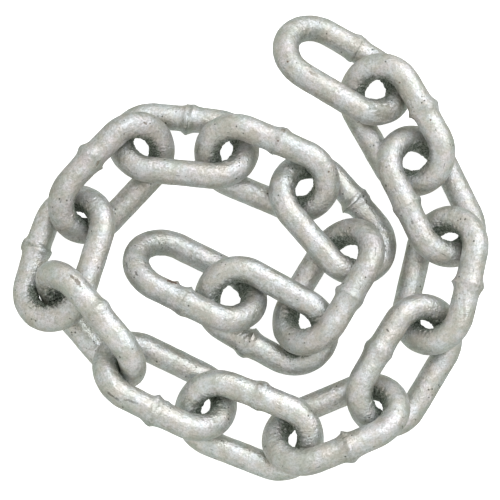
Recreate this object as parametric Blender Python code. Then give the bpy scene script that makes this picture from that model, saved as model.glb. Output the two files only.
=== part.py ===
"""A length of round-link steel chain, laid down in one layer as a flat inward spiral.

Seventeen alike links hook through each other. Each link is one piece of round wire, bent to a
long ring and butt welded in the middle of one side. Neighbouring links lean opposite ways, so
the high side of each lies over the low sides of its neighbours. One link stands nearly on edge,
where the chain takes up a twist.

Units are metres, +Z is up, and the chain lies on the floor at Z = 0.
"""
import math

import bpy
import numpy as np
from mathutils import Matrix, Vector

# Driving dimensions of one link
WIRE = 0.010                  # diameter of the wire
INSIDE_LENGTH = 0.040         # the chain's pitch
OUTSIDE_WIDTH = 0.036
WELD_LENGTH = 0.0040          # collar that the butt weld leaves on the wire
WELD_RAISE = 0.0005           # height of the collar over the wire

# Finish of the galvanised steel
ZINC_COLOUR = (0.49, 0.50, 0.48, 1.0)
ZINC_ROUGHNESS = 0.48
ZINC_METALLIC = 0.85

# How finely the wire is faceted
CROWN_STEPS = 10              # steps around each half-round end
RING_RESOLUTION = 4           # gives the wire twelve sides

# Plan of the chain from its outer end to its inner end: the centre of each link in
# millimetres, the direction of travel and the lean in degrees, and the side with the weld.
# Travel runs clockwise, so the outer side is on its left. A lean over 0 lifts the outer side.
PLAN = (
    (38, 72, -28, -37, "outer"),
    (58, 49.5, -59, 28, "outer"),
    (72, 21, -64, -34, "inner"),
    (75, -12.5, -103, 39, "outer"),
    (61, -46, -121, -32, "inner"),
    (34, -69.5, -155, 39, "outer"),
    (0, -69, 159, -28, "inner"),
    (-32, -55.5, 159, 37, "outer"),
    (-63, -29.2, 129.5, -74, "inner"),
    (-72.5, -3.5, 74, -29, "outer"),
    (-54, 28, 47, 44, "outer"),
    (-26, 41.5, -6, -29, "outer"),
    (7, 32, -23, 42, "outer"),
    (33.5, 12, -48, -28, "outer"),
    (31, -14.5, -120, 40, "outer"),
    (6.5, -27, 149, -22, "outer"),
    (-21, -12.5, 155, 43, "outer"),
)

# How the links come to lie on the floor and on each other
GAP = 0.00035                 # clearance that touching links keep
LAY_ROUNDS = 500              # rounds in which the links come down, keep to the plan and part
PART_ROUNDS = 300             # last rounds, in which they only part
SINK = 0.00008                # how far a link comes down in a round
HOLD = 0.04                   # share of its way back to the plan that a link takes in a round
TURN_REACH = 0.018            # how far from its centre a link's metal lies, on average
LINE_SPACING = 0.0017         # between the points at which gaps are measured

WIRE_RADIUS = WIRE / 2
CROWN_RADIUS = (OUTSIDE_WIDTH - WIRE) / 2
HALF_STRAIGHT = INSIDE_LENGTH / 2 + WIRE_RADIUS - CROWN_RADIUS


def clear_scene():
    for item in list(bpy.data.objects):
        bpy.data.objects.remove(item, do_unlink=True)


def zinc_material():
    material = bpy.data.materials.new("galvanised_steel")
    material.use_nodes = True
    shader = material.node_tree.nodes["Principled BSDF"]
    shader.inputs["Base Color"].default_value = ZINC_COLOUR
    shader.inputs["Roughness"].default_value = ZINC_ROUGHNESS
    shader.inputs["Metallic"].default_value = ZINC_METALLIC
    material.diffuse_color = ZINC_COLOUR
    return material


def crown_points(centre_x, start_angle, steps):
    """Points around a half-round end of the centre line, both ends included."""
    angles = [start_angle - math.pi * step / steps for step in range(steps + 1)]
    return [(centre_x + CROWN_RADIUS * math.cos(a), CROWN_RADIUS * math.sin(a), 0) for a in angles]


def ring_points(welded_side, plain_side, crown_steps):
    """The closed centre line, clockwise: welded side at +Y, right crown, plain side, left crown."""
    right = crown_points(HALF_STRAIGHT, math.pi / 2, crown_steps)
    left = crown_points(-HALF_STRAIGHT, -math.pi / 2, crown_steps)
    welded = [(x, CROWN_RADIUS, 0) for x in welded_side]
    plain = [(x, -CROWN_RADIUS, 0) for x in plain_side]
    return welded + right + plain + left


def wire_radius_at(x, y):
    in_collar = y > 0 and abs(x) < WELD_LENGTH / 2
    return WIRE_RADIUS + WELD_RAISE if in_collar else WIRE_RADIUS


def link_curve(material):
    """The link's wire around its centre line in the XY plane, long in X, with the weld at +Y."""
    collar = (-WELD_LENGTH / 2, -WELD_LENGTH / 4, WELD_LENGTH / 4, WELD_LENGTH / 2)
    points = ring_points(collar, (), CROWN_STEPS)
    curve = bpy.data.curves.new("link_wire", "CURVE")
    curve.dimensions = "3D"
    curve.bevel_depth = WIRE_RADIUS
    curve.bevel_resolution = RING_RESOLUTION
    spline = curve.splines.new("POLY")
    spline.points.add(len(points) - 1)
    for point, (x, y, z) in zip(spline.points, points):
        point.co = (x, y, z, 1)
        point.radius = wire_radius_at(x, y) / WIRE_RADIUS
    spline.use_cyclic_u = True
    spline.use_smooth = True
    curve.materials.append(material)
    return curve


def measuring_line():
    """Close points on the link's centre line and the wire's radius at each, for measuring gaps."""
    side_steps = round(2 * HALF_STRAIGHT / LINE_SPACING)
    crown_steps = round(math.pi * CROWN_RADIUS / LINE_SPACING)
    side = [HALF_STRAIGHT * (2 * step / side_steps - 1) for step in range(1, side_steps)]
    points = ring_points(side, side[::-1], crown_steps)
    radii = [wire_radius_at(x, y) for x, y, _ in points]
    return np.array(points), np.array(radii)


def planned_pose(x, y, heading, lean, weld_side):
    """Centre and axes of a link, where its plan puts it with its low side on the floor."""
    along = Vector((math.cos(math.radians(heading)), math.sin(math.radians(heading)), 0))
    outward = Vector((-along.y, along.x, 0))
    tilt = math.radians(lean)
    across = outward * math.cos(tilt) + Vector((0, 0, math.sin(tilt)))
    if weld_side == "inner":
        across = -across
    height = WIRE_RADIUS + CROWN_RADIUS * abs(math.sin(tilt))
    axes = np.array([along, across, along.cross(across)]).T
    return np.array([x / 1000, y / 1000, height]), axes


def turned(axes, turn):
    """The axes after a turn, given as its axis times its angle."""
    angle = np.linalg.norm(turn)
    if angle == 0:
        return axes
    x, y, z = turn / angle
    spin = np.array([[0, -z, y], [z, 0, -x], [-y, x, 0]])
    return axes + math.sin(angle) * spin @ axes + (1 - math.cos(angle)) * spin @ spin @ axes


def push(centres, axes, link, at, shift):
    """Move and turn a link by a shift that acts at one of its points."""
    arm = at - centres[link]
    centres[link] += shift
    axes[link] = turned(axes[link], np.cross(arm, shift) / TURN_REACH ** 2)


def yielding(centre, at, direction):
    """How far a point moves for a unit push at it: 1 at the link's centre, and more further out."""
    lever = np.cross(at - centre, direction)
    return 1 + lever.dot(lever) / TURN_REACH ** 2


def part_pair(centres, axes, line, radii, first, second):
    """Push two links apart where they come closest, until they clear each other by GAP."""
    first_line = line @ axes[first].T + centres[first]
    second_line = line @ axes[second].T + centres[second]
    between = first_line[:, None, :] - second_line[None, :, :]
    clear = np.sqrt((between ** 2).sum(axis=2)) - radii[:, None] - radii[None, :]
    i, j = np.unravel_index(clear.argmin(), clear.shape)
    if clear[i, j] >= GAP:
        return
    direction = between[i, j] / np.linalg.norm(between[i, j])
    give = yielding(centres[first], first_line[i], direction)
    give += yielding(centres[second], second_line[j], direction)
    shift = direction * (GAP - clear[i, j]) / give
    push(centres, axes, first, first_line[i], shift)
    push(centres, axes, second, second_line[j], -shift)


def lift_to_floor(centres, axes, line, radii, link):
    """Push a link up where it is below the floor."""
    world = line @ axes[link].T + centres[link]
    heights = world[:, 2] - radii
    low = heights.argmin()
    if heights[low] < 0:
        up = np.array([0.0, 0.0, 1.0])
        shift = up * -heights[low] / yielding(centres[link], world[low], up)
        push(centres, axes, link, world[low], shift)


def keep_to_plan(centres, axes, link, home, home_axes):
    """Let a link down a little, and take it part of the way back to its planned place and turn."""
    centres[link, :2] += HOLD * (home[:2] - centres[link, :2])
    centres[link, 2] -= SINK
    turn = np.cross(axes[link].T, home_axes.T).sum(axis=0) / 2
    axes[link] = turned(axes[link], HOLD * turn)


def lay_chain():
    """Lay the links by the plan, let them down on the floor and on each other, and part them."""
    poses = [planned_pose(*row) for row in PLAN]
    centres = np.array([centre for centre, _ in poses])
    axes = [turn for _, turn in poses]
    line, radii = measuring_line()
    reach = INSIDE_LENGTH + 2 * WIRE + GAP
    count = len(PLAN)
    for number in range(LAY_ROUNDS + PART_ROUNDS):
        if number < LAY_ROUNDS:
            for link, (home, home_axes) in enumerate(poses):
                keep_to_plan(centres, axes, link, home, home_axes)
        for first in range(count):
            for second in range(first + 1, count):
                if np.linalg.norm(centres[first] - centres[second]) < reach:
                    part_pair(centres, axes, line, radii, first, second)
        for link in range(count):
            lift_to_floor(centres, axes, line, radii, link)
    return centres, axes


def stand_on_origin(base, links):
    """Move the chain so that the middle of its box's underside is the origin."""
    bpy.context.view_layer.update()
    depsgraph = bpy.context.evaluated_depsgraph_get()
    corners = []
    for link in links:
        shape = link.evaluated_get(depsgraph)
        corners += [shape.matrix_world @ vertex.co for vertex in shape.to_mesh().vertices]
        shape.to_mesh_clear()
    low = [min(corner[axis] for corner in corners) for axis in range(3)]
    high = [max(corner[axis] for corner in corners) for axis in range(3)]
    base.location = (-(low[0] + high[0]) / 2, -(low[1] + high[1]) / 2, -low[2])


def build_chain():
    clear_scene()
    chain = bpy.data.collections.new("coiled_steel_chain")
    bpy.context.scene.collection.children.link(chain)
    base = bpy.data.objects.new("chain_base", None)
    chain.objects.link(base)
    wire = link_curve(zinc_material())
    links = []
    for number, (centre, turn) in enumerate(zip(*lay_chain()), start=1):
        link = bpy.data.objects.new(f"link_{number:02d}", wire)
        chain.objects.link(link)
        link.parent = base
        link.matrix_local = Matrix.Translation(centre) @ Matrix(turn.tolist()).to_4x4()
        links.append(link)
    stand_on_origin(base, links)


build_chain()
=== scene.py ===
# %% [markdown]
# # A length of galvanised steel chain, coiled flat
#
# Seventeen alike links of round steel wire hook through each other and lie on the floor as a
# flat spiral. The imported frame already has every link in its place, at its size. This script
# makes the looks: wire that is truly round, the rough butt weld in the side of each link, the
# soft lumps of a hot-dip zinc coat, and the grime where the links bear on each other, darkened
# further by painted shade there and inside the crowns.

import math

import bpy
import numpy as np
from mathutils import Matrix, Vector


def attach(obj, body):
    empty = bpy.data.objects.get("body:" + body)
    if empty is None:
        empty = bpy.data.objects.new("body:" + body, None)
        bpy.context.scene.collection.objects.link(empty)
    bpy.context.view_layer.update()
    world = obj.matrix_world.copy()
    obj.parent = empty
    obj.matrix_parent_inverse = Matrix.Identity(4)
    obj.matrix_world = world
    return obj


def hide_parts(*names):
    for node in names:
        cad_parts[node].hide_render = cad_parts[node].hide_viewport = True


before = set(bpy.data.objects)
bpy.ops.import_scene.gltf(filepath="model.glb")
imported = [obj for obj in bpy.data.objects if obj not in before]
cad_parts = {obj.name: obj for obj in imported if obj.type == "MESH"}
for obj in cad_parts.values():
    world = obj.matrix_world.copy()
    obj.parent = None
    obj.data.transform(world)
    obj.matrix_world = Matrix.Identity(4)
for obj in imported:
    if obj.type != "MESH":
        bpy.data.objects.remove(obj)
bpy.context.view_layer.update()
scene = bpy.context.scene

# %% [markdown]
# ## Camera
# The picture looks down on the coil, steeply but not straight down: the far sides of the upper
# strands are a little foreshortened. A camera could be put straight above and shifted, but one
# that is turned round the coil by its elevation is easier to match, because only the elevation,
# the distance and the lens are then left to set.

# %% Make the camera
ELEVATION = math.radians(82)
DISTANCE = 1.0
VIEW_WIDTH = 0.1976
AIM = Vector((0.0001, -0.0020, 0.008))
SENSOR_MM = 36

camera_data = bpy.data.cameras.new("camera")
camera_data.sensor_width = SENSOR_MM
camera_data.lens = SENSOR_MM * DISTANCE / VIEW_WIDTH
camera_data.dof.use_dof = False
camera_data.clip_start = 0.05
camera_data.clip_end = 20
camera = bpy.data.objects.new("camera", camera_data)
scene.collection.objects.link(camera)
back = Vector((0, -math.cos(ELEVATION), math.sin(ELEVATION)))
camera.location = AIM + back * DISTANCE
camera.rotation_euler = (-back).to_track_quat("-Z", "Y").to_euler()
scene.camera = camera
print("lens in mm:", round(camera_data.lens, 1))

# %% [markdown]
# ## Helpers for node trees
# Geometry Nodes and materials are both trees of small steps. Written out in full, each step
# takes four or five lines, so a few helpers keep the cells short. One adds any node. The others
# add what is used most: sums and products, a bell (a bump that is 1 in the middle and fades to 0
# on both sides), a smooth ramp, and soft noise of a given size.

# %% Define the helpers
SEED_SHIFT = 31.7


def add(tree, kind, inputs=None, **options):
    """Add a node, set its options, and feed its inputs with a value or with another's output."""
    node = tree.nodes.new(kind)
    for name, value in options.items():
        setattr(node, name, value)
    for key, value in (inputs or {}).items():
        if isinstance(value, bpy.types.NodeSocket):
            tree.links.new(value, node.inputs[key])
        else:
            node.inputs[key].default_value = value
    return node


def calc(tree, operation, *values):
    """The result of one sum, such as ADD or MULTIPLY."""
    return add(tree, "ShaderNodeMath", dict(enumerate(values)), operation=operation).outputs[0]


def total(tree, *values):
    """The sum of several values."""
    result = values[0]
    for value in values[1:]:
        result = calc(tree, "ADD", result, value)
    return result


def product(tree, *values):
    """Several values multiplied."""
    result = values[0]
    for value in values[1:]:
        result = calc(tree, "MULTIPLY", result, value)
    return result


def vector_calc(tree, operation, *values, output=0):
    """The result of one sum on vectors."""
    inputs = dict(enumerate(values))
    return add(tree, "ShaderNodeVectorMath", inputs, operation=operation).outputs[output]


def bell(tree, value, width):
    """1 where the value is 0, and fading to nothing at about twice the width."""
    ratio = calc(tree, "DIVIDE", value, width)
    square = calc(tree, "MULTIPLY", ratio, ratio)
    return calc(tree, "EXPONENT", calc(tree, "MULTIPLY", square, -1.0))


def ramp(tree, value, start, end, low=0.0, high=1.0):
    """Smoothly from low at the start value to high at the end value."""
    inputs = {"Value": value, "From Min": start, "From Max": end, "To Min": low, "To Max": high}
    return add(tree, "ShaderNodeMapRange", inputs, interpolation_type="SMOOTHSTEP").outputs[0]


def scaled(tree, place, size, seed):
    """The place in units of the given size, shifted by a seed so that no two patterns match."""
    if isinstance(seed, bpy.types.NodeSocket):
        shift = calc(tree, "MULTIPLY", seed, SEED_SHIFT)
    else:
        shift = (seed * SEED_SHIFT,) * 3
    return vector_calc(tree, "MULTIPLY_ADD", place, (1 / size,) * 3, shift)


def grain(tree, place, size, seed, detail=2.0, roughness=0.5):
    """Soft noise from 0 to 1, whose spots are about the given size in metres."""
    inputs = {"Vector": scaled(tree, place, size, seed), "Scale": 1.0,
              "Detail": detail, "Roughness": roughness}
    return add(tree, "ShaderNodeTexNoise", inputs).outputs[0]


# %% [markdown]
# ## How each link lies
# Every link is the same shape, so only its place and turn differ. The frame gives each one as a
# mesh in its final place. The place could be typed in again from the CAD plan, but the links
# settled on the floor and on each other, so it is better read from the mesh: the long, middle
# and short axes of the shape are the link's own axes, and the side with the higher collar is
# the welded one.

# %% Read the links' places from the frame
WIRE = 0.010
PITCH = 0.040
WIDTH = 0.036
HALF_STRAIGHT = (PITCH + WIRE - (WIDTH - WIRE)) / 2
COLLAR_REACH = 0.003
names = sorted(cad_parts)


def corners_of(name):
    """The corners of a link's triangles, as an array of count x 3 x 3."""
    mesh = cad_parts[name].data
    mesh.calc_loop_triangles()
    points = np.array([vertex.co for vertex in mesh.vertices])
    return points[[triangle.vertices[:] for triangle in mesh.loop_triangles]]


def rough_centre(corners):
    """The middle of the surface: the triangles' middles, weighted by their areas."""
    edges = corners[:, 1:] - corners[:, :1]
    areas = np.linalg.norm(np.cross(edges[:, 0], edges[:, 1]), axis=1)
    middles = corners.mean(axis=1)
    return np.average(middles, axis=0, weights=areas), middles, areas


def place_of(name, travel):
    """The link's own frame: X along its travel, Y to its weld, Z across the ring."""
    corners = corners_of(name)
    centre, middles, areas = rough_centre(corners)
    spread = np.cov((middles - centre).T, aweights=areas)
    axes = np.linalg.eigh(spread)[1]
    along, across = axes[:, 2], axes[:, 1]
    along = along * np.sign(along @ travel)
    local = (corners.reshape(-1, 3) - centre) @ np.array([along, across]).T
    middle_part = np.abs(local[:, 0]) < COLLAR_REACH
    if local[middle_part, 1].max() < -local[middle_part, 1].min():
        across = -across
    axes = np.array([along, across, np.cross(along, across)])
    local = (corners.reshape(-1, 3) - centre) @ axes.T
    low, high = local.min(axis=0), local.max(axis=0)
    middle = (low + high) / 2
    middle[1] = low[1] + WIDTH / 2
    matrix = Matrix(axes.T.tolist()).to_4x4()
    matrix.translation = Vector(centre + middle @ axes)
    return matrix


centres = np.array([rough_centre(corners_of(name))[0] for name in names])
travels = np.gradient(centres, axis=0)
places = {name: place_of(name, travel) for name, travel in zip(names, travels)}
for name, place in places.items():
    print(name, "centre in mm:", [round(value * 1000, 1) for value in place.translation])

# %% [markdown]
# ## The wire of a link
# A link is one piece of round wire bent to a long ring. It could be modelled as a mesh by hand,
# or as a curve with a bevel. Geometry Nodes suit it better, because the same short tree makes
# every link, and each link can still have its own weld and its own lumps from named inputs. The
# path is a rectangle with fully rounded corners. Its points are drawn closer together at the
# weld, where the shape has its smallest details.

# %% Start the link tree and its inputs
INPUTS = (
    ("Pitch", PITCH),
    ("Width", WIDTH),
    ("Wire", WIRE),
    ("Spacing", 0.00038),
    ("Weld place", 0.0),
    ("Weld skew", 0.0),
    ("Weld slant", 0.0),
    ("Weld step", 0.0002),
    ("Weld groove", 0.0002),
    ("Weld rib", 0.0),
    ("Weld swell", 0.0004),
    ("Weld bow", 0.0002),
    ("Outer place", 0.0),
    ("Outer height", 0.0010),
    ("Burr place", 0.0),
    ("Burr height", 0.0012),
    ("Crumb place", 0.0),
    ("Crumb height", 0.0),
    ("Coat", 0.00015),
    ("Lumps", 0.00016),
    ("Head crust", 0.00045),
    ("Tail crust", 0.00045),
    ("Warmth", 0.0),
    ("Paleness", 0.0),
    ("Seed", 0.0),
)
link_tree = bpy.data.node_groups.new("galvanised_link", "GeometryNodeTree")
link_tree.is_modifier = True
link_tree.interface.new_socket("Geometry", in_out="OUTPUT", socket_type="NodeSocketGeometry")
identifiers = {}


def named_input(title, kind, value=None):
    socket = link_tree.interface.new_socket(title, in_out="INPUT", socket_type=kind)
    identifiers[title] = socket.identifier
    if value is not None:
        socket.default_value = value


for title, value in INPUTS:
    named_input(title, "NodeSocketFloat", value)
named_input("Material", "NodeSocketMaterial")
named_input("Others", "NodeSocketObject")
given = link_tree.nodes.new("NodeGroupInput").outputs
print("inputs of the link tree:", len(identifiers))

# %% Draw the path and sweep the wire along it
SIDES = 72
CROWN_POINTS = 24
CROWDING = 0.62


def link_path(tree):
    """The centre line: a rectangle with round ends, in evenly spaced points."""
    length = calc(tree, "ADD", given["Pitch"], given["Wire"])
    height = calc(tree, "SUBTRACT", given["Width"], given["Wire"])
    crown = calc(tree, "MULTIPLY", height, 0.5)
    half_straight = calc(tree, "SUBTRACT", calc(tree, "MULTIPLY", length, 0.5), crown)
    box = add(tree, "GeometryNodeCurvePrimitiveQuadrilateral", {"Width": length, "Height": height})
    rounding = {"Curve": box.outputs[0], "Count": CROWN_POINTS, "Radius": crown,
                "Limit Radius": True}
    ring = add(tree, "GeometryNodeFilletCurve", rounding, mode="POLY")
    even = {"Curve": ring.outputs[0], "Length": given["Spacing"]}
    even = add(tree, "GeometryNodeResampleCurve", even, mode="LENGTH")
    return even.outputs[0], half_straight


def crowd_at_weld(tree, path, half_straight):
    """Draw the welded strand's points together at the weld, and let the strand bow out there."""
    place = tree.nodes.new("GeometryNodeInputPosition").outputs[0]
    parts = add(tree, "ShaderNodeSeparateXYZ", {0: place}).outputs
    on_strand = calc(tree, "GREATER_THAN", parts[1], 0.0)
    distance = calc(tree, "SUBTRACT", parts[0], given["Weld place"])
    reach = calc(tree, "SUBTRACT", half_straight, calc(tree, "ABSOLUTE", given["Weld place"]))
    ratio = calc(tree, "DIVIDE", distance, reach)
    square = calc(tree, "MINIMUM", calc(tree, "MULTIPLY", ratio, ratio), 1.0)
    closer = product(tree, calc(tree, "SUBTRACT", square, 1.0), CROWDING)
    closer = calc(tree, "MULTIPLY", calc(tree, "MULTIPLY", distance, closer), on_strand)
    side = calc(tree, "SUBTRACT", 1.0, calc(tree, "MINIMUM", calc(tree, "ABSOLUTE", ratio), 1.0))
    bow = calc(tree, "MULTIPLY", calc(tree, "MULTIPLY", side, on_strand), given["Weld bow"])
    offset = add(tree, "ShaderNodeCombineXYZ", {0: closer, 1: bow}).outputs[0]
    moved = add(tree, "GeometryNodeSetPosition", {"Geometry": path, "Offset": offset})
    return moved.outputs[0]


path, half_straight = link_path(link_tree)
path = crowd_at_weld(link_tree, path, half_straight)
place = link_tree.nodes.new("GeometryNodeInputPosition").outputs[0]
keep_centre = add(link_tree, "GeometryNodeCaptureAttribute", {0: path})
keep_centre.capture_items.new("VECTOR", "Centre")
keep_centre.capture_items.new("FLOAT", "Way round")
link_tree.links.new(place, keep_centre.inputs[1])
way_round = link_tree.nodes.new("GeometryNodeSplineParameter").outputs["Factor"]
link_tree.links.new(way_round, keep_centre.inputs[2])
centre, way_round = keep_centre.outputs[1], keep_centre.outputs[2]
radius = calc(link_tree, "MULTIPLY", given["Wire"], 0.5)
round_wire = {"Resolution": SIDES, "Radius": radius}
round_wire = add(link_tree, "GeometryNodeCurvePrimitiveCircle", round_wire)
swept = {"Curve": keep_centre.outputs[0], "Profile Curve": round_wire.outputs[0]}
wire = add(link_tree, "GeometryNodeCurveToMesh", swept).outputs[0]
print("nodes so far:", len(link_tree.nodes))

# %% [markdown]
# ## Where a point of the surface lies on its wire
# The weld, the burr and the grime all need to know two things about a point: which way it
# faces, from the wire's centre line, and whether that is towards the inside of the ring. Both
# follow from the centre line's position, which was kept when the wire was swept.

# %% Work out the directions
DRAWN_OUT = 4.5
CROWN_START, CROWN_FULL = -0.002, 0.007


def ring_outward(tree, centre):
    """The direction away from the ring's middle, and how far past the straights a point is."""
    along = add(tree, "ShaderNodeSeparateXYZ", {0: centre}).outputs[0]
    back_end = calc(tree, "MULTIPLY", half_straight, -1.0)
    held = calc(tree, "MAXIMUM", calc(tree, "MINIMUM", along, half_straight), back_end)
    held = add(tree, "ShaderNodeCombineXYZ", {0: held}).outputs[0]
    outward = vector_calc(tree, "NORMALIZE", vector_calc(tree, "SUBTRACT", centre, held))
    return outward, calc(tree, "SUBTRACT", calc(tree, "ABSOLUTE", along), half_straight)


def along_wire(tree, way_round, facing_out):
    """Coordinates in which patterns are drawn out along the wire and join up all round it."""
    turn = calc(tree, "MULTIPLY", way_round, 2 * math.pi)
    radius = (2 * HALF_STRAIGHT + math.pi * (WIDTH - WIRE) / 2) / math.pi / DRAWN_OUT
    x = calc(tree, "MULTIPLY", calc(tree, "COSINE", turn), radius)
    y = calc(tree, "MULTIPLY", calc(tree, "SINE", turn), radius)
    z = calc(tree, "MULTIPLY", facing_out, WIRE / 2)
    z = calc(tree, "ADD", z, calc(tree, "MULTIPLY", given["Seed"], 0.1))
    return add(tree, "ShaderNodeCombineXYZ", {0: x, 1: y, 2: z}).outputs[0]


place = link_tree.nodes.new("GeometryNodeInputPosition").outputs[0]
facing = vector_calc(link_tree, "NORMALIZE", vector_calc(link_tree, "SUBTRACT", place, centre))
outward, past_straight = ring_outward(link_tree, centre)
facing_out = vector_calc(link_tree, "DOT_PRODUCT", facing, outward, output=1)
facing_in = calc(link_tree, "MULTIPLY", facing_out, -1.0)
facing_side = add(link_tree, "ShaderNodeSeparateXYZ", {0: facing}).outputs[2]
crown = ramp(link_tree, past_straight, CROWN_START, CROWN_FULL)
print("nodes so far:", len(link_tree.nodes))

# %% [markdown]
# ## How near the other links are
# Two links that bear on each other rub the zinc thin, and round that place grime gathers and the
# coat stays rough. The material also darkens the colour there as painted shade, for the shade the
# links cast on each other. So each link has to know, at every point, how near its neighbours come.
# They could be found by hand for each crossing. It is simpler to hand the tree the neighbours'
# solids from the frame, turned into the link's own axes, and to let it measure the distance.

# %% Measure the distance to the neighbours
NEAR_START, NEAR_FULL = 0.0055, 0.0003
BEARING_START, BEARING_FULL = 0.0014, 0.0005
CRUST_START, CRUST_FULL = 0.014, 0.004
CRUST_FAR_SHARE = 0.45
NEIGHBOUR_REACH = 0.07

others = add(link_tree, "GeometryNodeObjectInfo", {"Object": given["Others"]})
gap = {0: others.outputs["Geometry"]}
gap = add(link_tree, "GeometryNodeProximity", gap, target_element="FACES").outputs["Distance"]
# In the material, nearness darkens the colour: partly grime, partly painted shade between the
# links.
near = ramp(link_tree, gap, NEAR_START, NEAR_FULL)
bearing = ramp(link_tree, gap, BEARING_START, BEARING_FULL)
neighbourhood = ramp(link_tree, gap, CRUST_START, CRUST_FULL, CRUST_FAR_SHARE, 1.0)


def others_near(name):
    """One plain mesh of the solids of the links that could be near this one, in its own axes."""
    here = places[name].translation
    near = [other for other in names if other != name]
    near = [other for other in near
            if (places[other].translation - here).length < NEIGHBOUR_REACH]
    corners = np.concatenate([corners_of(other) for other in near]).reshape(-1, 3)
    back = np.array(places[name].inverted())
    corners = corners @ back[:3, :3].T + back[:3, 3]
    mesh = bpy.data.meshes.new("others")
    mesh.from_pydata(corners.tolist(), [], np.arange(len(corners)).reshape(-1, 3).tolist())
    return mesh


print("nodes so far:", len(link_tree.nodes))

# %% [markdown]
# ## The butt weld
# The ends of the wire are pressed together hot, and the metal swells into a low collar. The two
# sides never meet exactly. On the best kept welds there are two ribs with a groove between them,
# on others only a faint line. Inside the ring a burr is left, pointed but rounded at its tip,
# outside a rounder hump, and the two are seldom opposite each other. Two links have a crumb of
# metal beside the burr as well. These could be separate small pieces, but on the real link they
# run into the wire without an edge, so they are made as a height over the wire.

# %% Add up the weld's height
POINT_ROUNDING = 0.0004
HUMP_WANDER = 0.0008
LINE_WANDER = 0.0006
COLLAR_WIDTH = 0.0024
GROOVE_WIDTH = 0.0009
RIB_DISTANCE, RIB_WIDTH = 0.0014, 0.0008
STEP_LENGTH, STEP_WIDTH = 0.0008, 0.0045
HUMP_BELL, HUMP_POINT = 0.0021, 0.0014
BURR_BELL, BURR_POINT = 0.0013, 0.0009
CRUMB_BELL, CRUMB_POINT = 0.0009, 0.0006
SEAM_WIDTH = 0.0008
DEEP_GROOVE = 0.0003


def edge_hump(tree, along, facing_edge, place_title, height, bell_width, point_width):
    """A hump on the edge that faces the given way: part round bell, part sharp point."""
    ragged = calc(tree, "SUBTRACT", grain(tree, place, 0.0018, given["Seed"], 2.0, 0.6), 0.5)
    distance = calc(tree, "SUBTRACT", along, given[place_title])
    distance = calc(tree, "ADD", distance, calc(tree, "MULTIPLY", ragged, HUMP_WANDER))
    square = calc(tree, "MULTIPLY", distance, distance)
    rounded = calc(tree, "SQRT", calc(tree, "ADD", square, POINT_ROUNDING * POINT_ROUNDING))
    point = calc(tree, "DIVIDE", calc(tree, "SUBTRACT", rounded, POINT_ROUNDING), -point_width)
    shape = calc(tree, "ADD", calc(tree, "EXPONENT", point), bell(tree, distance, bell_width))
    return product(tree, shape, 0.5, ramp(tree, facing_edge, 0.1, 0.85), height)


def weld_line(tree, along):
    """How far a point lies from the weld's line, which wanders a little round the wire."""
    ragged = calc(tree, "SUBTRACT", grain(tree, place, 0.003, given["Seed"], 2.0, 0.6), 0.5)
    line = total(tree, given["Weld place"], product(tree, facing_out, given["Weld skew"]),
                 product(tree, facing_side, given["Weld slant"]),
                 product(tree, ragged, LINE_WANDER))
    return calc(tree, "SUBTRACT", along, line)


def weld_height(tree, from_line, along):
    """The collar, the ribs and the groove, the step, and the humps on the two edges."""
    fading = grain(tree, place, 0.004, calc(tree, "ADD", given["Seed"], 40.0), 1.0)
    fading = ramp(tree, fading, 0.3, 0.6, 0.60, 1.1)
    collar = product(tree, bell(tree, from_line, COLLAR_WIDTH), given["Weld swell"])
    groove = product(tree, bell(tree, from_line, GROOVE_WIDTH), given["Weld groove"], fading)
    ribs = calc(tree, "SUBTRACT", calc(tree, "ABSOLUTE", from_line), RIB_DISTANCE)
    ribs = product(tree, bell(tree, ribs, RIB_WIDTH), given["Weld rib"], fading)
    side = calc(tree, "TANH", calc(tree, "DIVIDE", from_line, -STEP_LENGTH))
    step = product(tree, side, bell(tree, from_line, STEP_WIDTH), given["Weld step"])
    outer = calc(tree, "SUBTRACT", given["Outer height"], given["Weld swell"])
    outer = edge_hump(tree, along, facing_out, "Outer place", outer, HUMP_BELL, HUMP_POINT)
    burr = calc(tree, "SUBTRACT", given["Burr height"], given["Weld swell"])
    burr = edge_hump(tree, along, facing_in, "Burr place", burr, BURR_BELL, BURR_POINT)
    crumb = given["Crumb height"]
    crumb = edge_hump(tree, along, facing_in, "Crumb place", crumb, CRUMB_BELL, CRUMB_POINT)
    return calc(tree, "SUBTRACT", total(tree, collar, ribs, step, outer, burr, crumb), groove)


parts = add(link_tree, "ShaderNodeSeparateXYZ", {0: centre}).outputs
along, on_strand = parts[0], calc(link_tree, "GREATER_THAN", parts[1], 0.0)
from_line = weld_line(link_tree, along)
weld = product(link_tree, weld_height(link_tree, from_line, along), on_strand)
seam = bell(link_tree, from_line, SEAM_WIDTH)
seam = product(link_tree, seam, given["Weld groove"], on_strand, 1 / DEEP_GROOVE)
print("nodes so far:", len(link_tree.nodes))

# %% [markdown]
# ## The lumps of the zinc coat
# Molten zinc runs and sets unevenly, so the wire is nowhere quite smooth: it has soft lumps a
# few millimetres across, a tenth of a millimetre high. Inside the crowns the coat never drained
# well and is never wiped, so it is a rough crust there. The crust has its own thickness at each
# end of a link: the head, which leads in the direction of travel, and the tail. A bump in the
# material could shade all this, but it also shows in the outline of the wire and of the small
# holes between the links, so it is real height here. Only the finest grain is left to the
# material. Where links bear on each other the height fades out, and nowhere is it allowed half
# the distance to the next link, so that two coats can't cut into each other.

# %% Add the lumps and the crust
BROAD_LUMP, SMALL_LUMP = 0.0065, 0.0021
CRUST_LUMP, CRUST_PATCH = 0.0016, 0.0045
SHARE_OF_GAP = 0.46


def coat_height(tree):
    """The zinc's own thickness and its soft lumps."""
    broad = calc(tree, "SUBTRACT", grain(tree, place, BROAD_LUMP, given["Seed"], 1.0), 0.5)
    small = calc(tree, "SUBTRACT", grain(tree, place, SMALL_LUMP, given["Seed"], 2.0), 0.5)
    both = calc(tree, "ADD", product(tree, broad, 2.0), small)
    return calc(tree, "ADD", product(tree, both, given["Lumps"]), given["Coat"])


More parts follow.
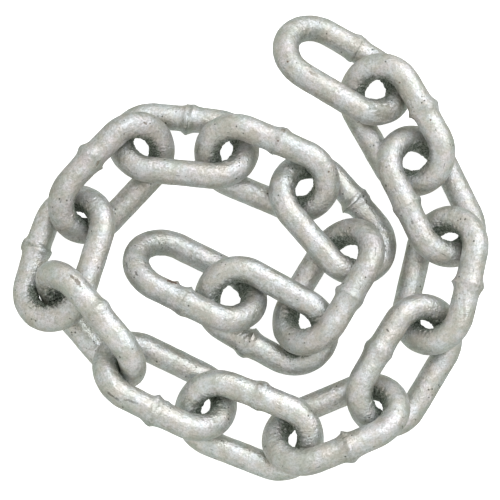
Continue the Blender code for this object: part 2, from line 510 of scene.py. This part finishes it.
def crust_height(tree, where):
    """Steep little lumps, in some places and not in others."""
    seed = calc(tree, "ADD", given["Seed"], 20.0)
    lumps = ramp(tree, grain(tree, place, CRUST_LUMP, seed, 2.0, 0.65), 0.42, 0.68)
    patches = ramp(tree, grain(tree, place, CRUST_PATCH, seed, 1.0), 0.3, 0.6, 0.3, 1.0)
    thickness = ramp(tree, along, -0.001, 0.001, given["Tail crust"], given["Head crust"])
    return product(tree, where, lumps, patches, thickness)


crusty = product(link_tree, ramp(link_tree, facing_in, 0.0, 0.75), crown, neighbourhood)
height = total(link_tree, weld, coat_height(link_tree), crust_height(link_tree, crusty))
height = product(link_tree, height, calc(link_tree, "SUBTRACT", 1.0, bearing))
height = calc(link_tree, "MINIMUM", height, product(link_tree, gap, SHARE_OF_GAP))
print("nodes so far:", len(link_tree.nodes))

# %% Keep values for the material, and finish the link tree
KEPT = {
    "facing_in": facing_in,
    "crown": crown,
    "crusty": crusty,
    "near": near,
    "seam": seam,
    "warmth": given["Warmth"],
    "paleness": given["Paleness"],
    "across_wire": product(link_tree, facing_side, WIRE / 2),
}
kept = wire
for title, value in KEPT.items():
    row = {"Geometry": kept, "Name": title, "Value": value}
    kept = add(link_tree, "GeometryNodeStoreNamedAttribute", row).outputs[0]
drawn_out = along_wire(link_tree, way_round, facing_out)
row = {"Geometry": kept, "Name": "along_wire", "Value": drawn_out}
kept = add(link_tree, "GeometryNodeStoreNamedAttribute", row, data_type="FLOAT_VECTOR").outputs[0]
offset = add(link_tree, "ShaderNodeVectorMath", {0: facing, "Scale": height}, operation="SCALE")
raised = add(link_tree, "GeometryNodeSetPosition", {"Geometry": kept, "Offset": offset.outputs[0]})
smooth = add(link_tree, "GeometryNodeSetShadeSmooth", {"Geometry": raised.outputs[0]})
real = add(link_tree, "GeometryNodeRealizeInstances", {"Geometry": smooth.outputs[0]})
coated = {"Geometry": real.outputs[0], "Material": given["Material"]}
coated = add(link_tree, "GeometryNodeSetMaterial", coated)
output = link_tree.nodes.new("NodeGroupOutput")
link_tree.links.new(coated.outputs[0], output.inputs[0])
print("nodes in the link tree:", len(link_tree.nodes))

# %% [markdown]
# ## Hot-dip galvanised steel
# New zinc is shiny, but on a chain that has been handled it is a dull silver grey, mottled in
# spots of about a millimetre, with broad pale highlights and darker sides, and the insides of
# the crowns are rough and dark with grime, with painted shade laid on them as well. A picture
# could be wrapped round the wire, but patterns made from noise have no seams and stay sharp at
# any distance. They read the object's own coordinates and the values that the link tree stored.

# %% Start the zinc material
zinc = bpy.data.materials.new("galvanised_steel")
zinc.use_nodes = True
zinc_tree = zinc.node_tree
zinc_tree.nodes.clear()
surface = zinc_tree.nodes.new("ShaderNodeOutputMaterial")
shader = add(zinc_tree, "ShaderNodeBsdfPrincipled", {"Metallic": 0.85, "IOR": 1.5})
zinc_tree.links.new(shader.outputs[0], surface.inputs[0])
spot = zinc_tree.nodes.new("ShaderNodeTexCoord").outputs["Object"]


def stored(name, output="Fac"):
    """A value that the link tree kept at every point."""
    return add(zinc_tree, "ShaderNodeAttribute", attribute_name=name).outputs[output]


def blend(factor, first, second, mode="MIX"):
    """One colour over another by a factor."""
    inputs = {0: factor, 6: first, 7: second}
    return add(zinc_tree, "ShaderNodeMix", inputs, data_type="RGBA", blend_type=mode).outputs[2]


def fleck(size, seed, reach, share):
    """1 inside small round flecks: of all the cells of a random grid, only this share has one."""
    cells = {"Vector": scaled(zinc_tree, spot, size, seed), "Scale": 1.0, "Randomness": 1.0}
    cells = add(zinc_tree, "ShaderNodeTexVoronoi", cells)
    chosen = add(zinc_tree, "ShaderNodeSeparateColor", {0: cells.outputs["Color"]}).outputs[0]
    chosen = calc(zinc_tree, "LESS_THAN", chosen, share)
    inside = ramp(zinc_tree, cells.outputs["Distance"], reach, reach * 0.55)
    return calc(zinc_tree, "MULTIPLY", inside, chosen)


along_wire_place, across_wire_place = stored("along_wire", "Vector"), stored("across_wire")


def streaks(size, seed, detail):
    """Noise drawn out along the wire, in four coordinates, so that it joins up all round."""
    inputs = {"Vector": along_wire_place, "W": calc(zinc_tree, "ADD", across_wire_place, seed),
              "Scale": 1 / size, "Detail": detail, "Roughness": 0.6}
    return add(zinc_tree, "ShaderNodeTexNoise", inputs, noise_dimensions="4D").outputs[0]


print("nodes in the zinc material so far:", len(zinc_tree.nodes))

# %% [markdown]
# ### Colour of the clean zinc
# The coat is a mix of greys at several scales: clouds of several millimetres, a mottle of about
# one millimetre that is strong in some patches and hardly there in others, a fine grain, and
# streaks along the wire from handling. Over that lie faint tints, from rosy to greenish and from
# yellowish to bluish, which change from place to place and a little from link to link.

# %% Mix the greys
PALE_ZINC = (0.690, 0.695, 0.680, 1)
GREY_ZINC = (0.554, 0.554, 0.528, 1)
DULL_ZINC = (0.355, 0.358, 0.314, 1)
MOTTLE_STRENGTH = 0.52
FINE_STRENGTH = 0.38
STREAK_STRENGTH = 0.24

cloud_spots = grain(zinc_tree, spot, 0.006, 2.0, 3.0, 0.6)
cloud = ramp(zinc_tree, cloud_spots, 0.36, 0.64)
patch = ramp(zinc_tree, grain(zinc_tree, spot, 0.010, 21.0, 2.0, 0.5), 0.40, 0.60, 0.35, 1.0)
mottle = ramp(zinc_tree, grain(zinc_tree, spot, 0.0012, 5.0, 3.0, 0.65), 0.42, 0.66)
fine = grain(zinc_tree, spot, 0.00065, 6.0, 1.0)
streak = streaks(0.0006, 8.0, 2.0)

colour = blend(cloud, GREY_ZINC, PALE_ZINC)
colour = blend(product(zinc_tree, mottle, patch, MOTTLE_STRENGTH), colour, DULL_ZINC)
fine_dull = product(zinc_tree, ramp(zinc_tree, fine, 0.42, 0.68), FINE_STRENGTH)
colour = blend(fine_dull, colour, DULL_ZINC)
streak_dull = product(zinc_tree, ramp(zinc_tree, streak, 0.48, 0.70), STREAK_STRENGTH)
colour = blend(streak_dull, colour, DULL_ZINC)
print("nodes in the zinc material so far:", len(zinc_tree.nodes))

# %% Tint the greys
rosy_spots = grain(zinc_tree, spot, 0.007, 31.0, 4.0, 0.72)
bluish_spots = grain(zinc_tree, spot, 0.007, 37.0, 4.0, 0.72)
bluish_spots = total(zinc_tree, bluish_spots, product(zinc_tree, rosy_spots, -0.25),
                     product(zinc_tree, cloud_spots, 0.80), -0.275)
rosy = ramp(zinc_tree, rosy_spots, 0.34, 0.66, 0.945, 1.045)
rosy = calc(zinc_tree, "ADD", rosy, product(zinc_tree, stored("warmth"), 0.014))
bluish = ramp(zinc_tree, bluish_spots, 0.34, 0.66, 0.957, 1.038)
bluish = calc(zinc_tree, "ADD", bluish, product(zinc_tree, stored("warmth"), -0.006))
tint = add(zinc_tree, "ShaderNodeCombineColor", {0: rosy, 1: 1.0, 2: bluish}).outputs[0]
colour = blend(1.0, colour, tint, "MULTIPLY")
pale = calc(zinc_tree, "ADD", 1.0, product(zinc_tree, stored("paleness"), 0.10))
pale = add(zinc_tree, "ShaderNodeCombineColor", {0: pale, 1: pale, 2: pale}).outputs[0]
colour = blend(1.0, colour, pale, "MULTIPLY")
print("nodes in the zinc material so far:", len(zinc_tree.nodes))

# %% [markdown]
# ### Pits, specks and scratches
# Small black pits sit singly and in threes and fours, a few specks are rusty, and handling has
# left short dark dashes along the wire and thin pale hairlines. Pits come from a random grid of
# cells in which only a share of the cells holds one. A dash is where the streaks are at their
# deepest, and a hairline is the thin line along which a soft noise passes its middle value.

# %% Scatter the pits
PIT = (0.045, 0.052, 0.038, 1)
RUST = (0.13, 0.075, 0.042, 1)
HAIRLINE_STRENGTH = 0.38
DASH_STRENGTH = 0.50
PIT_STRENGTH = 0.80
RUST_STRENGTH = 0.8

clusters = ramp(zinc_tree, grain(zinc_tree, spot, 0.008, 11.0, 1.0), 0.57, 0.65)
pits = product(zinc_tree, fleck(0.0014, 3.0, 0.34, 0.30), clusters)
pits = calc(zinc_tree, "MAXIMUM", pits, fleck(0.0028, 7.0, 0.17, 0.055))
worn = ramp(zinc_tree, grain(zinc_tree, spot, 0.008, 41.0, 1.0), 0.46, 0.58)
dashes = product(zinc_tree, ramp(zinc_tree, streaks(0.0008, 5.0, 1.0), 0.66, 0.74), worn)
hairline = calc(zinc_tree, "SUBTRACT", grain(zinc_tree, spot, 0.007, 51.0, 2.0, 0.35), 0.5)
hairline = product(zinc_tree, bell(zinc_tree, hairline, 0.007), worn)
colour = blend(product(zinc_tree, hairline, HAIRLINE_STRENGTH), colour, PALE_ZINC)
colour = blend(product(zinc_tree, dashes, DASH_STRENGTH), colour, PIT)
colour = blend(product(zinc_tree, pits, PIT_STRENGTH), colour, PIT)
rust = fleck(0.004, 9.0, 0.13, 0.07)
colour = blend(product(zinc_tree, rust, RUST_STRENGTH), colour, RUST)
print("nodes in the zinc material so far:", len(zinc_tree.nodes))

# %% [markdown]
# ### Grime and painted shade
# Where the coat is a crust inside the crowns, dirt fills it, with paler flakes of zinc showing
# all through it. Where another link comes near, the same dark colour is laid on more strongly:
# partly grime, partly painted shade between the links. Small dark crumbs sit round its edge. The
# rest of the crown's inside is darkened evenly as painted shade, and here and there dirt lies
# along the line of the weld.

# %% Lay the grime and the painted shade
GRIME_AND_SHADE = (0.092, 0.122, 0.086, 1)
PAINTED_CROWN_SHADE = (0.190, 0.205, 0.160, 1)
FLAKE = (0.360, 0.410, 0.350, 1)
PAINTED_CROWN_SHADE_STRENGTH = 0.25
NEAR_STRENGTH = 0.36
CRUMB_STRENGTH = 0.36
DIRT_STRENGTH = 0.78

ragged = grain(zinc_tree, spot, 0.0013, 13.0, 3.0, 0.7)
uneven = product(zinc_tree, calc(zinc_tree, "SUBTRACT", ragged, 0.5), 2.8)
inside = ramp(zinc_tree, stored("facing_in"), 0.12, 0.85)
inside = product(zinc_tree, inside, stored("crusty"), 1.10)
# Painted shade: the inward face of every crown is darkened evenly, as if it lay in shade.
painted_crown_shade = product(zinc_tree, ramp(zinc_tree, stored("facing_in"), 0.05, 0.90), stored("crown"))
painted_crown_shade = product(zinc_tree, painted_crown_shade, PAINTED_CROWN_SHADE_STRENGTH)
# The dark colour follows the crust's grime, and also the nearness of other links, where it is
# painted shade as well as grime.
dirt_and_contact_shade = total(zinc_tree, inside, product(zinc_tree, stored("near"), NEAR_STRENGTH), uneven)
crumbs = product(zinc_tree, fleck(0.0010, 19.0, 0.42, 0.40), ramp(zinc_tree, dirt_and_contact_shade, 0.10, 0.65))
dirt_and_contact_shade = ramp(zinc_tree, dirt_and_contact_shade, 0.60, 1.08)
flakes = ramp(zinc_tree, grain(zinc_tree, spot, 0.0008, 15.0, 2.0, 0.6), 0.44, 0.60)
grime_and_shade_colour = blend(flakes, GRIME_AND_SHADE, FLAKE)
colour = blend(painted_crown_shade, colour, PAINTED_CROWN_SHADE)
colour = blend(product(zinc_tree, crumbs, CRUMB_STRENGTH), colour, PIT)
colour = blend(product(zinc_tree, dirt_and_contact_shade, DIRT_STRENGTH), colour, grime_and_shade_colour)
seam_dirt = product(zinc_tree, stored("seam"), ramp(zinc_tree, ragged, 0.35, 0.65, 0.1, 0.6))
colour = blend(seam_dirt, colour, GRIME_AND_SHADE)
print("nodes in the zinc material so far:", len(zinc_tree.nodes))

# %% [markdown]
# ## Making the links
# Each link gets its own seed, so no two have the same lumps, and its own weld. Most welds sit
# within a millimetre of the middle of the strand. Lengths below are in millimetres. Two links
# have a much thicker crust at one end. Some links are a little warmer or paler than the rest:
# 1 is plainly so, and less than 0 is the other way.

# %% Choose each link's weld and tone
WELD_TITLES = ("Weld place", "Weld skew", "Weld slant", "Weld step", "Weld groove", "Weld rib",
               "Weld bow", "Outer place", "Outer height", "Burr place", "Burr height")
WELDS = {
    "link_01": (0.8, 0.0, 0.3, 0.20, 0.18, 0.00, 0.5, -0.9, 0.8, 0.1, 0.7),
    "link_02": (0.5, 0.2, -0.4, 0.12, 0.12, 0.00, 0.2, 0.7, 1.3, 0.3, 1.6),
    "link_03": (0.3, 0.4, -0.3, 0.10, 0.16, 0.00, -0.2, 0.4, 0.8, -0.2, 1.3),
    "link_04": (0.4, -0.1, 0.4, 0.16, 0.10, 0.00, 0.2, 0.5, 1.2, 0.5, 1.7),
    "link_05": (0.5, 0.1, 0.4, -0.10, 0.12, 0.00, 0.2, 0.7, 0.9, 0.5, 0.7),
    "link_06": (0.0, 0.2, 0.5, 0.18, 0.14, 0.00, 0.2, 0.2, 1.5, -0.3, 1.7),
    "link_07": (0.3, 0.1, 0.4, 0.12, 0.14, 0.12, 0.2, 0.3, 1.0, 0.2, 0.7),
    "link_08": (0.6, -0.3, -0.5, 0.25, 0.18, 0.10, 0.2, 0.3, 1.35, 0.9, 1.7),
    "link_09": (0.5, 0.1, 0.3, 0.10, 0.10, 0.00, 0.4, 0.8, 1.1, 0.3, 0.9),
    "link_10": (1.2, 0.4, 0.4, 0.15, 0.30, 0.32, 0.7, 2.0, 1.3, 1.2, 1.4),
    "link_11": (-0.3, 0.4, -0.5, 0.20, 0.10, 0.00, 0.4, 0.1, 1.2, -0.6, 1.2),
    "link_12": (0.7, 0.5, 0.2, -0.12, 0.25, 0.28, 0.2, 1.4, 0.9, 0.0, 1.7),
    "link_13": (0.4, 0.6, -0.3, -0.15, 0.14, 0.00, 0.3, 1.1, 1.1, -0.4, 0.9),
    "link_14": (0.7, 0.2, 0.3, 0.15, 0.22, 0.28, 0.2, 0.9, 0.8, 0.4, 2.0),
    "link_15": (0.2, 0.2, 0.3, 0.10, 0.12, 0.00, -0.2, 0.5, 0.9, 0.0, 1.4),
    "link_16": (1.1, 0.2, 0.3, 0.18, 0.14, 0.16, 0.3, 1.4, 1.2, 1.0, 1.6),
    "link_17": (-0.6, 0.1, 0.3, 0.10, 0.12, 0.00, 0.2, -1.0, 0.7, -0.4, 1.6),
}
CRUMBS = {"link_17": (5.3, 1.1), "link_08": (-3.4, 0.5)}
CRUST = 0.45
HEAD_CRUSTS = {"link_09": 1.3}
TAIL_CRUSTS = {"link_10": 1.6}
WARMTH = {
    "link_01": 0.8, "link_02": 0.8, "link_03": 0.5, "link_04": 0.6, "link_05": 0.4,
    "link_06": 0.6, "link_07": -0.3, "link_08": -0.1, "link_09": 0.3, "link_10": 0.5,
    "link_11": 1.7, "link_12": 0.4, "link_13": 0.4, "link_15": 0.8, "link_16": -0.1,
    "link_17": 0.1,
}
PALENESS = {
    "link_01": -0.3, "link_02": 0.3, "link_03": -0.6, "link_04": 0.4, "link_07": 0.9,
    "link_08": 0.3, "link_09": 1.0, "link_10": 0.2, "link_11": -1.0, "link_12": -0.4,
    "link_13": 0.1, "link_15": -0.4, "link_17": -0.5,
}
print("welds:", len(WELDS), "links of another tone:", len(set(WARMTH) | set(PALENESS)))

# %% Make one link
def plain_mesh(obj):
    """The object's evaluated mesh, and its modifiers taken off."""
    bpy.context.view_layer.update()
    evaluated = obj.evaluated_get(bpy.context.evaluated_depsgraph_get())
    mesh = bpy.data.meshes.new_from_object(evaluated)
    obj.modifiers.clear()
    obj.data = mesh
    return mesh


def rest_on_floor(mesh):
    """Flatten what the coat, or a burr on a low strand, would put below the floor."""
    points = np.empty(len(mesh.vertices) * 3)
    mesh.vertices.foreach_get("co", points)
    points[2::3] = np.maximum(points[2::3], 0)
    mesh.vertices.foreach_set("co", points)


def make_link(name, seed):
    """Run the link tree with this link's own values, and put the mesh where the link lies."""
    link = bpy.data.objects.new("zinc_" + name, bpy.data.meshes.new("wire"))
    neighbours = bpy.data.objects.new("others", others_near(name))
    scene.collection.objects.link(link)
    scene.collection.objects.link(neighbours)
    modifier = link.modifiers.new("link", "NODES")
    modifier.node_group = link_tree
    values = dict(zip(WELD_TITLES, WELDS[name]))
    values["Crumb place"], values["Crumb height"] = CRUMBS.get(name, (0.0, 0.0))
    values["Head crust"] = HEAD_CRUSTS.get(name, CRUST)
    values["Tail crust"] = TAIL_CRUSTS.get(name, CRUST)
    for title, value in values.items():
        modifier[identifiers[title]] = value / 1000
    modifier[identifiers["Seed"]] = float(seed)
    modifier[identifiers["Warmth"]] = WARMTH.get(name, 0.0)
    modifier[identifiers["Paleness"]] = PALENESS.get(name, 0.0)
    modifier[identifiers["Material"]] = zinc
    modifier[identifiers["Others"]] = neighbours
    mesh = plain_mesh(link)
    mesh.transform(places[name])
    rest_on_floor(mesh)
    bpy.data.objects.remove(neighbours)
    return link


links = {name: make_link(name, seed) for seed, name in enumerate(names, start=1)}
faces = {name: len(link.data.polygons) for name, link in links.items()}
print("faces of a link:", faces["link_01"], "of all:", sum(faces.values()))

# %% [markdown]
# ## Marks of their own
# A few marks belong to one place: scuffed patches on the link that stands on edge, black
# scratches on the link before it, rusty crumbs near the inner end, a long brownish scratch on
# the right, soiled patches where the first two links meet, and small brown and black spots.
# Each is an oval spot with a ragged edge, at about so many millimetres from the origin, drawn
# out along a direction. The links are made by now, so each mark can be set down on the nearest
# place of their surface.

# %% Place the single marks
BROWN = (0.22, 0.185, 0.135, 1)
SCUFFED = (0.24, 0.215, 0.175, 1)
SOILED = (0.15, 0.16, 0.12, 1)
BLACK = (0.07, 0.07, 0.06, 1)
RUSTY = (0.16, 0.095, 0.065, 1)
MARKS = (
    # centre, direction, length, width, colour, strength
    ((-68.3, -15.9, 34), (0.57, -0.82, 0.0), 8.0, 1.1, SCUFFED, 0.8),
    ((-66.4, -17.9, 34.2), (0.57, -0.82, 0.0), 5.0, 2.1, SCUFFED, 0.8),
    ((-53.5, -60.8, 27.2), (0.82, -0.57, 0.0), 10.0, 1.1, BLACK, 0.60),
    ((-45.4, -63.5, 27.6), (0.95, -0.3, 0.0), 7.0, 1.1, BLACK, 0.45),
    ((-30, -17, 24), (0.92, -0.37, 0.0), 6.0, 2.4, RUSTY, 0.85),
    ((-47.5, -10, 21.5), (0.29, -0.84, 0.45), 4.0, 1.0, BLACK, 0.6),
    ((-44, -13.5, 24.5), (0.53, -0.81, 0.26), 2.4, 0.9, BLACK, 0.6),
    ((25, 65.5, 24), (0.87, -0.48, 0.0), 4.5, 2.0, BROWN, 0.45),
    ((83.1, -28.8, 25.2), (0.04, -1.0, 0.0), 15.0, 1.3, SCUFFED, 0.35),
    ((-41, 46, 23), (0.64, -0.58, -0.5), 2.4, 0.9, BROWN, 0.7),
    ((13.2, 42.7, 25.8), (0.3, -0.61, 0.79), 3.6, 1.6, BROWN, 0.6),
    ((4.6, -56.4, 20.8), (0.3, -0.95, 0.3), 3.4, 1.6, BROWN, 0.65),
    ((-59.4, 29.6, 25.8), (0.6, 0.6, 0.3), 3.4, 1.6, BROWN, 0.6),
    ((53.4, 50.9, 20.3), (0.97, -0.2, 0.0), 13.0, 8.0, SOILED, 0.45),
    ((47.5, 52.5, 20.0), (0.8, -0.6, 0.0), 12.0, 3.0, SOILED, 0.30),
    ((53.5, -35.5, 22), (0.65, -0.7, 0.29), 1.8, 1.0, BLACK, 0.7),
    ((-49.5, -46.5, 30.5), (0.0, -0.68, -0.73), 2.0, 0.9, BLACK, 0.7),
    ((49, 78.5, 9.5), (0.98, 0.0, -0.19), 1.2, 1.0, BLACK, 0.8),
)


def on_surface(point):
    """The nearest place on any link's surface."""
    places = [link.closest_point_on_mesh(point)[1] for link in links.values()]
    return min(places, key=lambda place: (place - point).length)


def mark(centre, direction, length, width):
    """1 inside an oval spot with a ragged edge."""
    half = Vector((length, width, width)) / 2000
    turn = Vector(direction).to_track_quat("X", "Z").to_euler()
    place = on_surface(Vector(centre) / 1000)
    inputs = {"Vector": spot, "Location": place, "Rotation": turn, "Scale": half}
    oval = add(zinc_tree, "ShaderNodeMapping", inputs, vector_type="TEXTURE").outputs[0]
    reach = vector_calc(zinc_tree, "LENGTH", oval, output=1)
    return ramp(zinc_tree, calc(zinc_tree, "ADD", reach, uneven), 1.1, 0.6)


gouged = 0.0
for centre, direction, length, width, tone, strength in MARKS:
    inside = product(zinc_tree, mark(centre, direction, length, width), strength)
    colour = blend(inside, colour, tone)
    gouged = calc(zinc_tree, "MAXIMUM", inside, gouged)
zinc_tree.links.new(colour, shader.inputs["Base Color"])
print("single marks:", len(MARKS))

# %% [markdown]
# ## Gloss and fine relief
# Zinc reflects like a metal that has gone a little blind: it is glossier where it is smooth, and
# dull where it is mottled, cloudy, dirty, darkened near another link, or marked. The finest relief
# is too small to be worth real height, so it is a bump: a fine and a coarser grain that break up
# the highlights, stronger in some places than in others, streaks along the wire, the hollows of
# the pits, and a rougher grain in the grime and where the painted contact shade lies.

# %% Set the roughness and the bump
BUMP_HEIGHT = 0.00018

rough = total(zinc_tree, ramp(zinc_tree, mottle, 0.0, 1.0, 0.35, 0.48),
              product(zinc_tree, cloud, 0.05), product(zinc_tree, stored("warmth"), 0.05),
              product(zinc_tree, calc(zinc_tree, "MAXIMUM", dirt_and_contact_shade, gouged), 0.3))
zinc_tree.links.new(rough, shader.inputs["Roughness"])
lumpy = ramp(zinc_tree, grain(zinc_tree, spot, 0.008, 61.0, 1.0), 0.42, 0.62, 0.70, 1.35)
relief = total(zinc_tree, product(zinc_tree, fine, 0.68),
               product(zinc_tree, grain(zinc_tree, spot, 0.0013, 17.0, 2.0, 0.6), lumpy, 1.55),
               product(zinc_tree, streak, -0.50), product(zinc_tree, pits, -0.3),
               product(zinc_tree, ragged, dirt_and_contact_shade, 0.9))
bumps = {"Strength": 1.0, "Distance": BUMP_HEIGHT, "Height": relief}
bumps = add(zinc_tree, "ShaderNodeBump", bumps)
zinc_tree.links.new(bumps.outputs[0], shader.inputs["Normal"])
print("nodes in the zinc material:", len(zinc_tree.nodes))

# %% [markdown]
# ## Floor and light
# The chain is shown on a plain white floor in soft light from above. One large lamp, above and
# to the back right, gives the broad pale band along each strand. A pale surround, darker and
# greener low down, fills the shadows.

# %% Make the floor
FLOOR_HALF = 4
PAPER = {
    "Base Color": (0.9, 0.9, 0.9, 1),
    "Roughness": 0.9,
    "Emission Color": (1, 1, 1, 1),
    "Emission Strength": 0.86,
}

corners = [(-FLOOR_HALF, -FLOOR_HALF, 0), (FLOOR_HALF, -FLOOR_HALF, 0),
           (FLOOR_HALF, FLOOR_HALF, 0), (-FLOOR_HALF, FLOOR_HALF, 0)]
floor_mesh = bpy.data.meshes.new("floor")
floor_mesh.from_pydata(corners, [], [(0, 1, 2, 3)])
floor = bpy.data.objects.new("floor", floor_mesh)
scene.collection.objects.link(floor)
paper = bpy.data.materials.new("white_paper")
paper.use_nodes = True
for title, value in PAPER.items():
    paper.node_tree.nodes["Principled BSDF"].inputs[title].default_value = value
floor_mesh.materials.append(paper)
floor.visible_diffuse = False
floor.visible_glossy = False
print("floor width in m:", 2 * FLOOR_HALF)

# %% Make the light
LAMP_POWER = 19
LAMP_SIZE = 2.3
LAMP_PLACE = (0.85, 0.92, 1.35)
LAMP_COLOUR = (0.98, 1.0, 1.09)
LOW_GLOW = (0.574, 0.612, 0.566, 1)
HIGH_GLOW = (0.926, 0.915, 0.892, 1)


def lamp(name, power, size, place, aim=(0, 0, 0)):
    """A round lamp that points at the aim."""
    data = bpy.data.lights.new(name, "AREA")
    data.shape = "DISK"
    data.size = size
    data.energy = power
    obj = bpy.data.objects.new(name, data)
    scene.collection.objects.link(obj)
    obj.location = place
    obj.rotation_euler = (Vector(aim) - Vector(place)).to_track_quat("-Z", "Y").to_euler()
    return obj


softbox = lamp("softbox", LAMP_POWER, LAMP_SIZE, LAMP_PLACE)
softbox.data.color = LAMP_COLOUR
world = bpy.data.worlds.new("surround")
world.use_nodes = True
sky = world.node_tree.nodes.new("ShaderNodeTexCoord").outputs["Generated"]
height = add(world.node_tree, "ShaderNodeSeparateXYZ", {0: sky}).outputs[2]
height = ramp(world.node_tree, height, -0.25, 0.45)
tones = {0: height, 6: LOW_GLOW, 7: HIGH_GLOW}
glow = add(world.node_tree, "ShaderNodeMix", tones, data_type="RGBA").outputs[2]
world.node_tree.links.new(glow, world.node_tree.nodes["Background"].inputs["Color"])
scene.world = world
scene.view_settings.view_transform = "Standard"
scene.view_settings.look = "None"
print("lamp power in W:", softbox.data.energy)

# %% [markdown]
# ## Hand the pieces over
# Each link rides on the chain's one body and stands in for its CAD solid.

# %% Ride and replace
for name, link in links.items():
    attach(link, "root")
    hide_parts(name)
